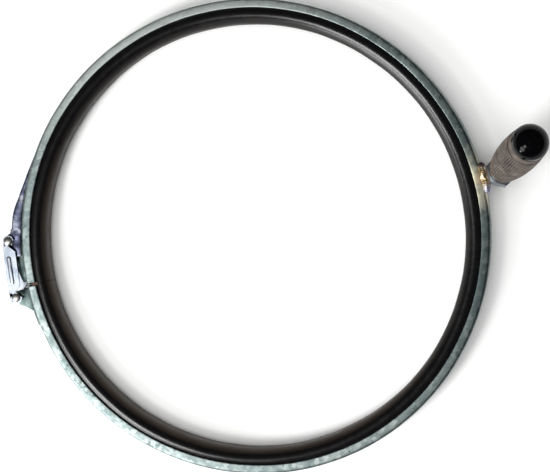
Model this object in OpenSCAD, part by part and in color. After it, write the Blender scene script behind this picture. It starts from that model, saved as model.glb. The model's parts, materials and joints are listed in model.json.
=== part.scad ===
// Lever-lock band clamp for a pipe: a rubber-lined channel ring with a toggle latch and a hand grip.
// The ring lies in the XY plane and is centred on the origin; +Z is the ring's axis.
// The latch is on the -X side and the grip on the +X side. The latch is drawn locked.

/* [Ring] */
// Outside diameter of the pipe that the seal grips
pipe_d = 355.6; // [355:0.1:356]
// Thickness of the seal, from the pipe to the channel's web
seal_t = 19.1; // [18.9:0.1:19.3]
// Width of the channel along the ring's axis
band_w = 26; // [26:0.5:28]
// Thickness of the channel's sheet
sheet = 1.5; // [1.4:0.1:1.6]
// Depth of the channel's two flanges
lip = 7.5; // [7:0.1:8]
// Radius of the channel's rounded outer corners
band_corner = 2.4; // [2:0.1:2.6]
// Radius of the seal's two rounded shoulders
seal_shoulder = 6.4; // [5:0.1:7]

/* [Split] */
// Angle of the split round the ring
split_a = 192.1; // [191.8:0.1:192.4]
// Angle between the channel's two ends
split_gap_a = 1.0; // [0.9:0.05:1.1]
// Angle round the ring of the line about which it flexes open
flex_a = 6; // [5:0.5:7]

/* [Latch] */
// Angle round the ring of the link's upper rivet
upper_rivet_a = 181; // [180.8:0.1:181.2]
// Angle round the ring of the link's lower rivet
lower_rivet_a = 194.35; // [194.2:0.05:194.5]
// Height of both rivets above the channel's web
rivet_out = 12.4; // [12.2:0.1:12.8]
// Distance from the lever's pivot to the upper rivet
throw = 13; // [12.8:0.1:13.2]
// Distance that the lever's pivot stands outside the line between the rivets
over_centre = 1.5; // [1.3:0.1:1.6]
// Angle through which the lever swings open
lever_open = 120; // [110:5:120]
// Angle round the ring of the lever's tip
lever_tip_a = 159.2; // [158:0.1:160]
// Length of the lever's straight back, from tip to knee
lever_back = 55.8; // [54:0.2:56]
// Angle by which the back leaves the ring's tangent at the tip
lever_flare = 1.4; // [1:0.1:1.6]
// Outside width of the lever
lever_w = 16.4; // [16.2:0.1:16.6]
// Thickness of the lever's sheet
lever_t = 1.4; // [1.2:0.1:1.4]
// Thickness of a link plate
plate_t = 1.6; // [1.5:0.1:1.6]
// Radius of the rivets' shanks
shank_r = 2.4; // [2.3:0.05:2.4]
// Radius of the link rivets' domed heads
head_r = 3.8; // [3.6:0.1:3.9]

/* [Grip] */
// Angle round the ring of the grip's foot
grip_a = 15.4; // [15.2:0.1:15.6]
// Radius from the ring's centre to the grip's foot
grip_out = 215.1; // [215:0.1:215.6]
// Height of the grip's foot above the ring's middle plane
grip_z = 15.4; // [15:0.1:16]
// Lean of the grip away from the ring's axis
grip_lean = 25; // [24:0.5:26]
// Direction in which the grip leans
grip_turn = 45.4; // [44:0.2:47]
// Length of the ribbed grip
grip_l = 70.4; // [69:0.2:72]
// Radius of the grip at its belly
belly_r = 15.8; // [15.6:0.1:16]
// Radius of the grip at its foot
foot_r = 11.7; // [11.5:0.1:11.9]
// Radius of the end cap
cap_r = 14.4; // [14.2:0.1:14.6]
// Height of the end cap's straight side
cap_side = 4.9; // [4.6:0.1:5.2]
// Height of the end cap's dome
dome_h = 11.4; // [11.2:0.1:11.6]

/* [Hidden] */
$fn = 96;

// Clearances: between parts of one body, of a running fit, and between moving parts
touch = 0.05;
run = 0.06;
free = 0.3;

// Ring
seal_r = pipe_d / 2;
web_r = seal_r + seal_t + 0.1;
band_r = web_r + sheet;
half_w = band_w / 2;
seal_half_w = half_w - sheet - 0.1;
kerf_a = 0.05;
ring_fn = 240;

// A point at a radius and an angle round the ring
function polar(r, a) = [r * cos(a), r * sin(a)];
function turned(v, a) = [v[0] * cos(a) - v[1] * sin(a), v[0] * sin(a) + v[1] * cos(a)];

// Latch points, locked
flex_pt = polar(band_r, flex_a);
upper_pt = polar(band_r + rivet_out, upper_rivet_a);
lower_pt = polar(band_r + rivet_out, lower_rivet_a);
link_v = lower_pt - upper_pt;
link_l = norm(link_v);
link_u = link_v / link_l;
link_out = [link_u[1], -link_u[0]];
link_a = atan2(link_v[1], link_v[0]);
pivot_pt = upper_pt + link_u * sqrt(throw * throw - over_centre * over_centre) + link_out * over_centre;

// Where the lower rivet has to be with the lever fully open: on the link's circle about the upper
// rivet, and on the lower band end's circle about the flex line
open_upper = pivot_pt + turned(upper_pt - pivot_pt, lever_open);
catch_r = norm(lower_pt - flex_pt);
span = flex_pt - open_upper;
along = (link_l * link_l - catch_r * catch_r + span * span) / (2 * norm(span));
span_u = span / norm(span);
open_lower = open_upper + span_u * along - [-span_u[1], span_u[0]] * sqrt(link_l * link_l - along * along);
function bearing(v) = atan2(v[1], v[0]);
flex_open = bearing(open_lower - flex_pt) - bearing(lower_pt - flex_pt);
link_swing = bearing(open_lower - open_upper) - link_a;
echo(flex_open = flex_open, flex_ratio = flex_open / lever_open, link_ratio = link_swing / lever_open - 1);
echo(pivot_pt = pivot_pt, upper_pt = upper_pt, lower_pt = lower_pt, flex_pt = flex_pt);

// Path of the lower rivet as the catch bracket sees it, for a part of the lever's swing
function rivet_path(part) =
    let (tip = pivot_pt + turned(upper_pt - pivot_pt, lever_open * part))
    let (rivet = tip + turned(link_v, link_swing * part))
    flex_pt + turned(rivet - flex_pt, -flex_open * part);
PATH_STEPS = 10;

// Latch layers, measured out from the ring's middle plane
lever_half = lever_w / 2;
pivot_head_t = 0.9;
plate_z = lever_half + pivot_head_t + 0.5;
plate_top = plate_z + plate_t;
head_h = half_w - 0.2 - plate_top;
bracket_half = lever_half - lever_t - 0.4;
bracket_t = 1.6;
catch_half = plate_z - 0.4;
base_t = 1.5;
base_r = band_r + touch;
lobe_r = 5.2;

// Grip layers, measured along its spindle from the weld nut's top
nut_h = 8;
nut_across = 23;
nut_r = nut_across / sqrt(3);
spring_h = 2;
thrust_h = 1.6;
foot_s = spring_h + thrust_h + 0.4;
top_s = foot_s + grip_l;
shoulder_r = 6;
sleeve_r = 8;
well_r = 11;
well_s = top_s - 6.8;
thread_r = 5;
end_thread_r = 4;
keeper_h = 1.6;
end_nut_h = 6.5;
end_nut_r = 13 / sqrt(3);
barrel_s = foot_s + 0.65 * grip_l;
barrel_sag = belly_r - foot_r;
barrel_run = barrel_s - foot_s;
barrel_r = (barrel_run * barrel_run + barrel_sag * barrel_sag) / (2 * barrel_sag);
groove_s = foot_s + 0.46 * grip_l;
groove_r = belly_r - barrel_r + sqrt(barrel_r * barrel_r - (groove_s - barrel_s) * (groove_s - barrel_s));
collar_h = 7;
dome_r = (cap_r * cap_r + dome_h * dome_h) / (2 * dome_h);

// A section turned round the ring from angle a0 to angle a1; the section's x is the radius
module sweep(a0, a1) {
    rotate([0, 0, a0]) rotate_extrude(angle = a1 - a0, $fn = ring_fn) children();
}

// A rectangle with round corners, in true arcs
module round_box(x0, x1, y0, y1, r) {
    translate([x0 + r, y0]) square([x1 - x0 - 2 * r, y1 - y0]);
    translate([x0, y0 + r]) square([x1 - x0, y1 - y0 - 2 * r]);
    for (x = [x0 + r, x1 - r], y = [y0 + r, y1 - r]) translate([x, y]) circle(r);
}

// A straight slot or bar with round ends
module bar(p, q, r) {
    v = q - p;
    translate(p) circle(r);
    translate(q) circle(r);
    translate(p) rotate(bearing(v)) translate([0, -r]) square([norm(v), 2 * r]);
}

// A flat shape of thickness z1 - z0
module slab(z0, z1) {
    translate([0, 0, z0]) linear_extrude(z1 - z0) children();
}

// The same flat shape at both sides of the ring's middle plane
module pair(z0, z1) {
    slab(z0, z1) children();
    slab(-z1, -z0) children();
}

module band_section() {
    difference() {
        round_box(web_r - 30, band_r, -half_w, half_w, band_corner);
        round_box(web_r - 40, web_r, sheet - half_w, half_w - sheet, band_corner - sheet);
        translate([0, -band_w]) square([band_r - lip, 2 * band_w]);
    }
}

module seal_section() {
    back_r = 1.2;
    round_box(seal_r + seal_shoulder - back_r, web_r - 0.1, -seal_half_w, seal_half_w, back_r);
    translate([seal_r, seal_shoulder - seal_half_w])
        square([seal_shoulder + 1, 2 * (seal_half_w - seal_shoulder)]);
    for (side = [-1, 1])
        translate([seal_r + seal_shoulder, side * (seal_half_w - seal_shoulder)]) circle(seal_shoulder);
}

module band_upper() {
    color("silver") sweep(flex_a + kerf_a, split_a - split_gap_a / 2) band_section();
}

module band_lower() {
    color("silver") sweep(split_a + split_gap_a / 2, 360 + flex_a - kerf_a) band_section();
}

module seal_upper() {
    color("black") sweep(flex_a + kerf_a, split_a - kerf_a) seal_section();
}

module seal_lower() {
    color("black") sweep(split_a + kerf_a, 360 + flex_a - kerf_a) seal_section();
}

// A rubber flap bonded to the seal's upper end, which laps the joint at the channel's mouth
module seal_joint_tab() {
    flap_r = band_r - lip - 2.5;
    flap_a = split_a - split_gap_a / 2 + 0.12;
    color("saddlebrown") {
        sweep(flap_a, split_a - 0.1) translate([flap_r, seal_half_w]) square([5, 0.5]);
        sweep(flap_a, split_a + 0.35) translate([flap_r, seal_half_w + 0.4]) square([5, 1.1]);
    }
}

// The fixed half of the lever's hinge: a curved base on the band with two ears
module lever_bracket_ear() {
    difference() {
        union() {
            translate(pivot_pt) circle(lobe_r - 0.2);
            polygon([polar(base_r - 2, 181.6), polar(base_r + 3.5, 181.4), pivot_pt + [0.5, lobe_r - 0.3],
                pivot_pt - [lobe_r - 0.6, 2], polar(base_r + 9, 187.2), polar(base_r + 4.5, 191.2),
                polar(base_r - 2, 191.3)]);
        }
        circle(base_r, $fn = ring_fn);
        translate(pivot_pt) circle(shank_r + touch);
    }
}

module lever_bracket() {
    color("gainsboro") {
        pair(bracket_half - bracket_t, bracket_half) lever_bracket_ear();
        sweep(177.5, 191.3) translate([base_r, -bracket_half]) square([base_t, 2 * bracket_half]);
    }
}

// The hook on the lower band end: two ears whose notches hold the lower rivet
module catch_ear() {
    difference() {
        union() {
            translate(lower_pt) circle(lobe_r);
            polygon([polar(base_r - 2, 192.9), polar(base_r + 8, 192.75), polar(base_r + 13.5, 193),
                lower_pt - [lobe_r, 0], lower_pt + [-1, -lobe_r], polar(base_r + 6, 197.2),
                polar(base_r + 2, 198.4), polar(base_r - 2, 198.6)]);
        }
        circle(base_r, $fn = ring_fn);
        for (i = [0:PATH_STEPS - 1])
            bar(rivet_path(i / PATH_STEPS), rivet_path((i + 1) / PATH_STEPS), shank_r + free);
    }
}

module catch_bracket() {
    color("gainsboro") {
        pair(catch_half - bracket_t, catch_half) catch_ear();
        sweep(192.9, 202.4) translate([base_r, -catch_half]) square([base_t, 2 * catch_half]);
    }
}

// Side view of the lever: a straight back that ends tangent to the ring, and two round lobes
lever_tip = polar(band_r + 0.5 + lever_t, lever_tip_a);
lever_dir = [-sin(lever_tip_a - lever_flare), cos(lever_tip_a - lever_flare)];
lever_knee = lever_tip + lever_dir * lever_back;
lever_heel = [lever_knee[0] - 0.9, 6];

module lever_side() {
    difference() {
        union() {
            translate(pivot_pt) circle(lobe_r);
            translate(upper_pt) circle(lobe_r);
            polygon([lever_tip, lever_knee, lever_heel, upper_pt + [-lobe_r, 0.6], pivot_pt - [lobe_r, 0],
                pivot_pt + [lobe_r, 0], polar(band_r + 2, 180.5), polar(band_r - 4, 175),
                polar(band_r - 4, 165), polar(band_r - 1, lever_tip_a)]);
        }
        translate([-1, -4.75]) circle(band_r + 1.4, $fn = ring_fn);
    }
}

// What the back wall leaves inside: the side view moved in by the sheet, and all below the heel
module lever_inside() {
    translate([lever_t * 0.95, -lever_t * 0.4]) lever_side();
    translate([lever_heel[0] - 12, lever_heel[1] - 60]) square([30, 60]);
}

module lever() {
    color("lightsteelblue") difference() {
        slab(-lever_half, lever_half) lever_side();
        slab(lever_t - lever_half, lever_half - lever_t) lever_inside();
        for (p = [pivot_pt, upper_pt]) slab(-half_w, half_w) translate(p) circle(shank_r + run);
    }
}

module lever_pivot_rivet() {
    color("silver") translate([pivot_pt[0], pivot_pt[1], 0]) {
        cylinder(r = shank_r, h = 2 * lever_half + 0.2, center = true);
        for (side = [0, 1]) mirror([0, 0, side])
            translate([0, 0, lever_half + 0.08]) cylinder(r1 = 4, r2 = 3.4, h = pivot_head_t - 0.08);
    }
}

// Outline of a link plate: round ends, and an outer edge that bows away from the ring
module link_outline() {
    bow_r = 190;
    bow = 6.2;
    difference() {
        union() {
            translate(upper_pt) circle(4.8);
            translate(lower_pt) circle(5.3);
            translate(upper_pt) rotate(link_a) intersection() {
                translate([0, -8]) square([link_l, 13]);
                translate([link_l * 0.55, bow_r - bow]) circle(bow_r, $fn = ring_fn);
                translate([link_l * 0.6, 4.9 - 260]) circle(260, $fn = ring_fn);
            }
        }
        for (p = [upper_pt, lower_pt]) translate(p) circle(shank_r + touch);
    }
}

module link_plate() {
    bead_out = 1.5;
    bead_r = 1.6;
    slab(plate_z, plate_top) link_outline();
    slab(plate_top, plate_top + 0.5) bar(upper_pt + link_u * 15 + link_out * bead_out,
        upper_pt + link_u * 35.5 + link_out * bead_out, bead_r);
}

module link_plate_front() {
    color("gainsboro") link_plate();
}

module link_plate_rear() {
    color("gainsboro") mirror([0, 0, 1]) link_plate();
}

// A rivet through both link plates, with a domed head at each end
module link_rivet(p) {
    ball_r = (head_r * head_r + head_h * head_h) / (2 * head_h);
    color("silver") translate([p[0], p[1], 0]) {
        cylinder(r = shank_r, h = 2 * plate_top + 0.2, center = true);
        for (side = [0, 1]) mirror([0, 0, side]) intersection() {
            translate([0, 0, plate_top + head_h - ball_r]) sphere(ball_r);
            translate([0, 0, plate_top + 0.02]) cylinder(r = head_r, h = head_h);
        }
    }
}

module link_upper_rivet() {
    link_rivet(upper_pt);
}

module link_lower_rivet() {
    link_rivet(lower_pt);
}

// Two washers on the upper rivet, between the lever and the plates
module link_spacers() {
    color("silver") pair(lever_half + 0.1, plate_z - 0.05) translate(upper_pt) difference() {
        circle(4.2);
        circle(shank_r + touch);
    }
}

// Places its children in the grip's own frame: the spindle's axis is z
module on_grip() {
    foot = polar(grip_out, grip_a);
    translate([foot[0], foot[1], grip_z]) rotate([0, grip_lean, grip_turn]) children();
}

module ring_of(r_in, r_out, s0, s1) {
    translate([0, 0, s0]) difference() {
        cylinder(r = r_out, h = s1 - s0);
        translate([0, 0, -1]) cylinder(r = r_in, h = s1 - s0 + 2);
    }
}

module hex_nut(corner_r, bore_r, s0, s1) {
    translate([0, 0, s0]) difference() {
        cylinder(r = corner_r, h = s1 - s0, $fn = 6);
        translate([0, 0, -1]) cylinder(r = bore_r, h = s1 - s0 + 2);
    }
}

module weld_nut() {
    color("silver") on_grip() hex_nut(nut_r, thread_r + touch, -nut_h, 0);
}

// The weld fillet between the nut and the channel's front edge
module weld_bead() {
    weld_a = grip_a - 0.65;
    weld_half_a = 3.7;
    weld_r = 3.6;
    color("peru") difference() {
        sweep(weld_a - weld_half_a, weld_a + weld_half_a) difference() {
            translate([band_r + 1.8, half_w - 0.1]) circle(weld_r);
            translate([band_r - 30, -half_w]) square([30 + touch, band_w + touch]);
        }
        on_grip() translate([0, 0, -nut_h - touch]) cylinder(r = nut_r + touch, h = nut_h + 9, $fn = 6);
        on_grip() translate([0, 0, -20]) cylinder(r = thread_r + touch, h = 30);
    }
}

module spring_washer() {
    color("silver") on_grip() ring_of(thread_r + 0.2, 8.4, touch, spring_h - touch);
}

module thrust_washer() {
    color("gainsboro") on_grip() ring_of(shoulder_r + 0.1, 11, spring_h + touch, spring_h + thrust_h);
}

module handle_spindle() {
    color("silver") on_grip() {
        translate([0, 0, -nut_h - 1.5]) cylinder(r = thread_r - touch, h = nut_h + 1.6 + spring_h);
        translate([0, 0, spring_h]) cylinder(r = shoulder_r, h = well_s + free - spring_h);
        translate([0, 0, well_s]) cylinder(r = end_thread_r, h = keeper_h + end_nut_h + 1.6);
    }
}

module grip_sleeve() {
    color("dimgray") on_grip() ring_of(shoulder_r + run, sleeve_r, foot_s + 0.3, well_s);
}

module grip_profile() {
    difference() {
        intersection() {
            translate([0, foot_s]) square([belly_r + 1, grip_l]);
            translate([belly_r - barrel_r, barrel_s]) circle(barrel_r, $fn = 360);
        }
        translate([groove_r + 0.15, groove_s]) circle(0.7);
        translate([cap_r + 0.3, top_s - collar_h]) square([5, collar_h + 1]);
        translate([cap_r + 0.5, top_s - collar_h]) circle(0.5);
    }
}

module grip_body() {
    color("#2a2622") on_grip() difference() {
        rotate_extrude() grip_profile();
        translate([0, 0, foot_s - 1]) cylinder(r = sleeve_r + 0.02, h = grip_l);
        translate([0, 0, well_s]) cylinder(r = well_r, h = 10);
    }
}

module retaining_washer() {
    s0 = well_s + free;
    color("silver") on_grip() ring_of(end_thread_r + 0.1, 9.8, s0 + touch, s0 + keeper_h);
}

module spindle_nut() {
    s0 = well_s + free + keeper_h + touch;
    color("silver") on_grip() hex_nut(end_nut_r, end_thread_r + touch, s0, s0 + end_nut_h);
}

// The cap's plug is pushed into the grip's well; its dome covers the spindle's nut
module end_cap() {
    plug_h = 3;
    wall = 1.5;
    color("#0c0c0d") on_grip() difference() {
        union() {
            intersection() {
                translate([0, 0, top_s + cap_side + dome_h - dome_r]) sphere(dome_r);
                translate([0, 0, top_s + touch]) cylinder(r = cap_r, h = cap_side + dome_h);
            }
            translate([0, 0, top_s - plug_h]) cylinder(r = well_r - 0.08, h = plug_h + 0.2);
        }
        translate([0, 0, top_s - plug_h - 1])
            cylinder(r = well_r - wall, h = plug_h + 1 + cap_side + 0.3 * dome_h);
    }
}

band_upper();
band_lower();
seal_upper();
seal_lower();
seal_joint_tab();
lever_bracket();
catch_bracket();
lever();
lever_pivot_rivet();
link_plate_front();
link_plate_rear();
link_upper_rivet();
link_lower_rivet();
link_spacers();
weld_nut();
weld_bead();
spring_washer();
thrust_washer();
handle_spindle();
grip_sleeve();
grip_body();
retaining_washer();
spindle_nut();
end_cap();
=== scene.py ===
"""Looks of the lever-lock pipe clamp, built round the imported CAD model. Lengths below are in millimetres."""

import json
import math

import bmesh
import bpy
import numpy as np
from mathutils import Matrix, Vector

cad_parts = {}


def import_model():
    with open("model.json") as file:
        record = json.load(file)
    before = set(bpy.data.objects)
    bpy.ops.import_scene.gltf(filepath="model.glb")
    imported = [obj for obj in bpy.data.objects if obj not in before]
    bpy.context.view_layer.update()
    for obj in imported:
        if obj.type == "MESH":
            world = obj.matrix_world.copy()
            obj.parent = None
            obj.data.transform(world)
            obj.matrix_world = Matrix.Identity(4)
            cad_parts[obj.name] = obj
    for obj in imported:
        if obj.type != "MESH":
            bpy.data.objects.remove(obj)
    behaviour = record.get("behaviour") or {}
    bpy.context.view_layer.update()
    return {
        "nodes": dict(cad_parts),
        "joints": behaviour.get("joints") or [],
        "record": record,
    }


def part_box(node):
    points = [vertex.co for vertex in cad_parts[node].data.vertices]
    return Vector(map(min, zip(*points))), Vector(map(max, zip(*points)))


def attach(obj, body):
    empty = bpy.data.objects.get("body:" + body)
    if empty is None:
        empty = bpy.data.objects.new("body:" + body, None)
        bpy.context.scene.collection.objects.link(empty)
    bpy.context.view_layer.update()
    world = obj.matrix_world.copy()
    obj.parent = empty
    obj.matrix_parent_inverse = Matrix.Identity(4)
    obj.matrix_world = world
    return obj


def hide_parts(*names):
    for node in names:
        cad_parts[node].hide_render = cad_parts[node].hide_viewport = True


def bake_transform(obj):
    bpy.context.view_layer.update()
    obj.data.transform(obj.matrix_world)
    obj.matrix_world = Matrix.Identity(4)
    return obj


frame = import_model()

MM = 0.001

# ---------------------------------------------------------------- places and sizes from the frame


def node_box(name):
    """Lowest and highest corner of a CAD node, in millimetres."""
    low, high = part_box(name)
    return np.array(low) / MM, np.array(high) / MM


def joint(name):
    return next(j for j in frame["joints"] if j["name"] == name)


def joint_point(name):
    return np.array(joint(name)["pos_m"]) / MM


def mount(name):
    return next(m for m in frame["record"]["mounts"] if m["name"] == name)


def bearing(point):
    return math.degrees(math.atan2(point[1], point[0])) % 360


def polar(radius, degrees):
    a = math.radians(degrees)
    return np.array([radius * math.cos(a), radius * math.sin(a)])


SEAL_R = mount("pipe_seat")["dims"]["r_mm"]
HALF_W = float(node_box("band_upper")[1][2])
SEAL_HALF_W = float(node_box("seal_upper")[1][2])
FLEX_POINT = joint_point("ring_flex")[:2]
BAND_R = float(np.linalg.norm(FLEX_POINT))
FLEX_A = bearing(FLEX_POINT)
PIVOT = joint_point("lever_swing")[:2]
UPPER = joint_point("link_swing")[:2]
LOWER = np.mean(node_box("link_lower_rivet"), axis=0)[:2]
SPLIT_A = 192.1
SPLIT_GAP_A = 1.0
SHEET = 1.5
LIP_R = BAND_R - 7.5
SEAL_BACK_R = BAND_R - SHEET - 0.1
LEVER_HALF = float(node_box("lever")[1][2])
PLATE_TOP = float(node_box("link_spacers")[1][2]) + 0.05 + 1.6
PLATE_T = 1.6
RIVET_TOP = float(node_box("link_upper_rivet")[1][2])
GRIP_FOOT = joint_point("grip_turn")
GRIP_AXIS = Vector(joint("grip_turn")["axis"]).normalized()
NUT_H = 8.0
FOOT_S = 4.0
GRIP_L = 70.4
BELLY_SHARE = 0.65
GROOVE_SHARE = 0.46
COLLAR_H = 7
WELL_DEPTH = 6.8
TOP_S = FOOT_S + GRIP_L
BELLY_R = 15.8
FOOT_R = 11.7
CAP_R = 14.4
CAP_SIDE = 4.9
DOME_H = 11.4

# ---------------------------------------------------------------- mesh helpers


def make(name, verts, faces, sharp=32, matrix=None):
    """A mesh object from vertices in millimetres, shaded smooth but for edges over sharp degrees."""
    points = [Vector(v) * MM for v in verts]
    if matrix is not None:
        points = [matrix @ p for p in points]
    mesh = bpy.data.meshes.new(name)
    mesh.from_pydata(points, [], faces)
    bm = bmesh.new()
    bm.from_mesh(mesh)
    bmesh.ops.remove_doubles(bm, verts=bm.verts, dist=1e-7)
    bmesh.ops.recalc_face_normals(bm, faces=bm.faces)
    bm.to_mesh(mesh)
    bm.free()
    mesh.polygons.foreach_set("use_smooth", [True] * len(mesh.polygons))
    mesh.set_sharp_from_angle(angle=math.radians(sharp))
    obj = bpy.data.objects.new(name, mesh)
    bpy.context.scene.collection.objects.link(obj)
    return obj


def bake_modifiers(obj, sharp=32):
    """Applies an object's modifiers, so that the mesh is final."""
    depsgraph = bpy.context.evaluated_depsgraph_get()
    mesh = bpy.data.meshes.new_from_object(obj.evaluated_get(depsgraph))
    obj.modifiers.clear()
    obj.data = mesh
    mesh.polygons.foreach_set("use_smooth", [True] * len(mesh.polygons))
    mesh.set_sharp_from_angle(angle=math.radians(sharp))
    return obj


def bevel(obj, width, segments=3, angle=40):
    mod = obj.modifiers.new("edge", "BEVEL")
    mod.width = width * MM
    mod.segments = segments
    mod.limit_method = "ANGLE"
    mod.angle_limit = math.radians(angle)
    mod.use_clamp_overlap = True
    return bake_modifiers(obj)


def join_solids(first, *others):
    """Unites solids into one closed mesh."""
    for other in others:
        mod = first.modifiers.new("join", "BOOLEAN")
        mod.operation = "UNION"
        mod.solver = "EXACT"
        mod.object = other
        bake_modifiers(first)
        bpy.data.objects.remove(other)
    return first


def cut(first, *tools):
    for tool in tools:
        mod = first.modifiers.new("cut", "BOOLEAN")
        mod.operation = "DIFFERENCE"
        mod.solver = "EXACT"
        mod.object = tool
        bake_modifiers(first)
        bpy.data.objects.remove(tool)
    return first


def arc(centre, radius, a0, a1, steps):
    return [centre + polar(radius, a0 + (a1 - a0) * i / steps) for i in range(steps + 1)]


def fillet(points, radii, steps=6):
    """A closed outline with each corner rounded to its radius."""
    out = []
    count = len(points)
    for i, radius in enumerate(radii):
        here = np.array(points[i], float)
        before = np.array(points[i - 1], float) - here
        after = np.array(points[(i + 1) % count], float) - here
        if radius <= 0:
            out.append(here)
            continue
        u, v = before / np.linalg.norm(before), after / np.linalg.norm(after)
        half = math.acos(max(-1, min(1, float(u @ v)))) / 2
        reach = min(radius / math.tan(half), 0.48 * np.linalg.norm(before), 0.48 * np.linalg.norm(after))
        start, end = here + u * reach, here + v * reach
        for k in range(steps + 1):
            t = k / steps
            out.append((1 - t) ** 2 * start + 2 * t * (1 - t) * here + t * t * end)
    return out


def prism(name, outline, z0, z1, holes=()):
    """A flat plate with an outline and holes, between two heights."""
    bm = bmesh.new()
    edges = []
    for loop in [outline, *holes]:
        verts = [bm.verts.new((p[0], p[1], z0)) for p in loop]
        edges += [bm.edges.new((verts[i - 1], verts[i])) for i in range(len(verts))]
    bmesh.ops.triangle_fill(bm, use_beauty=True, use_dissolve=False, edges=edges)
    made = bmesh.ops.extrude_face_region(bm, geom=bm.faces[:])
    for v in made["geom"]:
        if isinstance(v, bmesh.types.BMVert):
            v.co.z = z1
    bmesh.ops.recalc_face_normals(bm, faces=bm.faces)
    verts = [tuple(v.co) for v in bm.verts]
    bm.verts.index_update()
    faces = [[v.index for v in f.verts] for f in bm.faces]
    bm.free()
    return make(name, verts, faces)


def sweep(name, section, a0, a1, step=0.6, wobble=None):
    """A closed section of (radius, height) points turned round the ring, capped at both ends."""
    count = max(2, int(round(abs(a1 - a0) / step)) + 1)
    angles = np.linspace(a0, a1, count)
    verts, faces = [], []
    n = len(section)
    for a in angles:
        for r, z in section:
            dr, dz = wobble(r, z, a) if wobble else (0.0, 0.0)
            p = polar(r + dr, a)
            verts.append((p[0], p[1], z + dz))
    for i in range(count - 1):
        for k in range(n):
            m = (k + 1) % n
            faces.append((i * n + k, (i + 1) * n + k, (i + 1) * n + m, i * n + m))
    faces.append(tuple(range(n)))
    faces.append(tuple(range((count - 1) * n, count * n)))
    return make(name, verts, faces)


def grip_matrix():
    """The spindle's frame: its z is the spindle's axis, and its x leans outward."""
    x = Vector((GRIP_AXIS.x, GRIP_AXIS.y, 0)).normalized()
    x = (x - GRIP_AXIS * x.dot(GRIP_AXIS)).normalized()
    y = GRIP_AXIS.cross(x)
    m = Matrix((x, y, GRIP_AXIS)).transposed().to_4x4()
    m.translation = Vector(GRIP_FOOT) * MM
    return m


def lathe(name, profile, segments=96, matrix=None, shape=None, closed=False, sharp=32):
    """A profile of (radius, height) points turned about z. Closed profiles make rings; open ones start
    and end on the axis. shape(radius, height, degrees) gives the real radius and height there."""
    verts, faces = [], []
    n = len(profile)
    for i in range(segments):
        phi = 360 * i / segments
        for r, s in profile:
            rr, ss = shape(r, s, phi) if shape and r > 0 else (r, s)
            verts.append((rr * math.cos(math.radians(phi)), rr * math.sin(math.radians(phi)), ss))
    last = n if closed else n - 1
    for i in range(segments):
        j = (i + 1) % segments
        for k in range(last):
            m = (k + 1) % n
            quad = (i * n + k, j * n + k, j * n + m, i * n + m)
            if profile[k][0] == 0:
                quad = (i * n + k, j * n + m, i * n + m)
            elif profile[m][0] == 0:
                quad = (i * n + k, j * n + k, i * n + m)
            faces.append(quad)
    return make(name, verts, faces, sharp, matrix)


# ---------------------------------------------------------------- materials


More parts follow.
